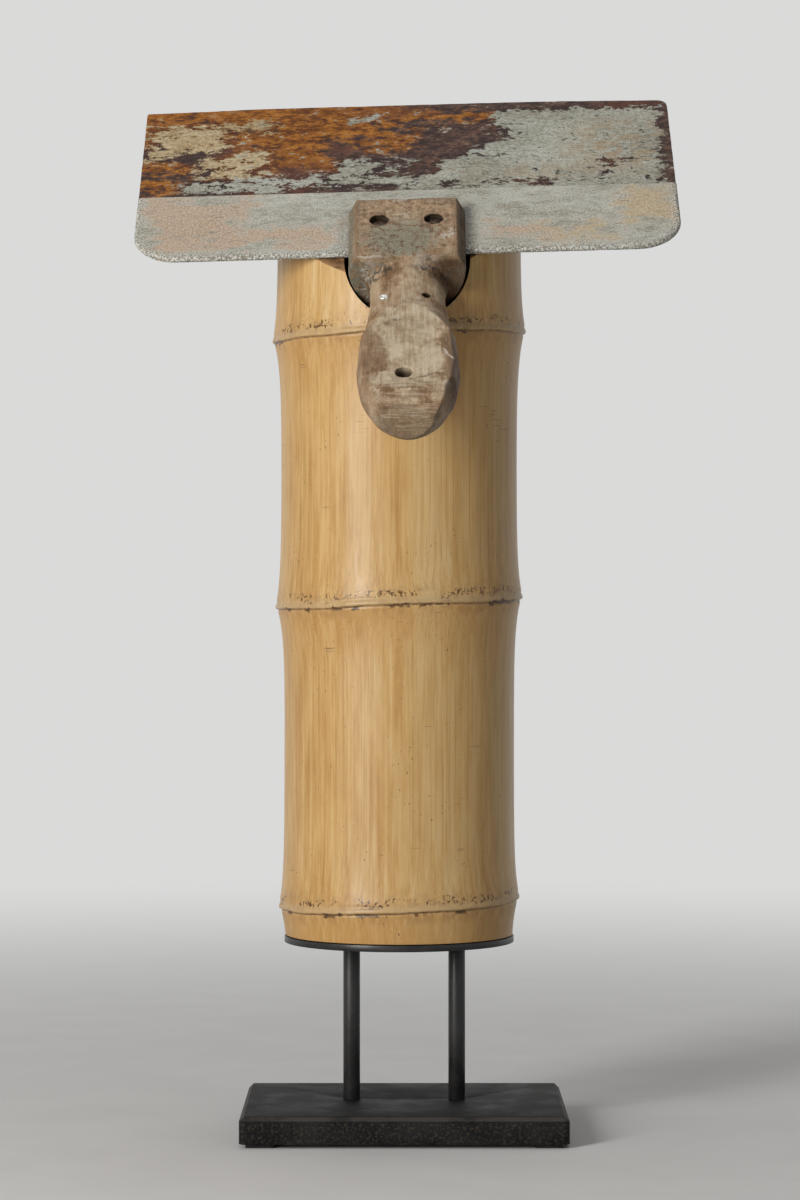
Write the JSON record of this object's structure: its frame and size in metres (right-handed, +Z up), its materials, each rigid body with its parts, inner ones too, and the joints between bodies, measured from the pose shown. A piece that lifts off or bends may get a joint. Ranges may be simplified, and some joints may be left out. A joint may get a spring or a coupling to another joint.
{
  "type": "bamboo culm and scraper ornament on a stand",
  "caption": "Thick bamboo culm on a black steel stand, its top sawn at a slant, with an old plasterer's scraper lying on the slant; the scraper lifts off.",
  "frame": {"origin": "on the ground, below the middle of the base plate, between the rods", "axes": "+Z up, -Y to the front, the way the handle points, +X to the viewer's right"},
  "size_m": [0.2554, 0.1958, 0.4979],
  "materials": {
    "stand_steel": "blackened, satin, lightly rubbed",
    "foot_rubber": "matte",
    "screw_steel": "plain",
    "bamboo": "smooth, satin, fine fibres",
    "plug_wood": "sawn",
    "handle_wood": "weathered, dry",
    "strip_steel": "old paint and plaster, matte",
    "blade_steel": "rusty with flaking paint",
    "rivet_steel": "dull, rusted",
    "nail_steel": "bright, worn"
  },
  "bodies": {
    "stand": {"base_plate": "stand_steel", "front_left_foot": "foot_rubber", "front_right_foot": "foot_rubber", "back_left_foot": "foot_rubber", "back_right_foot": "foot_rubber", "left_rod": "stand_steel", "right_rod": "stand_steel", "base_screws": "screw_steel", "disc_screws": "screw_steel", "support_disc": "stand_steel", "foot_plug": "plug_wood", "plug_screws": "screw_steel", "bamboo_culm": "bamboo", "locating_pin": "screw_steel"},
    "scraper": {"handle": "handle_wood", "back_strip": "strip_steel", "scraper_blade": "blade_steel", "handle_rivets": "rivet_steel", "rivet_washers": "rivet_steel", "neck_nail": "nail_steel"}
  },
  "joints": [
    {"name": "scraper_lift", "type": "slide", "parent": "stand", "child": "scraper", "axis": [0, 0, 1], "range_m": [0, 0.18]}
  ]
}
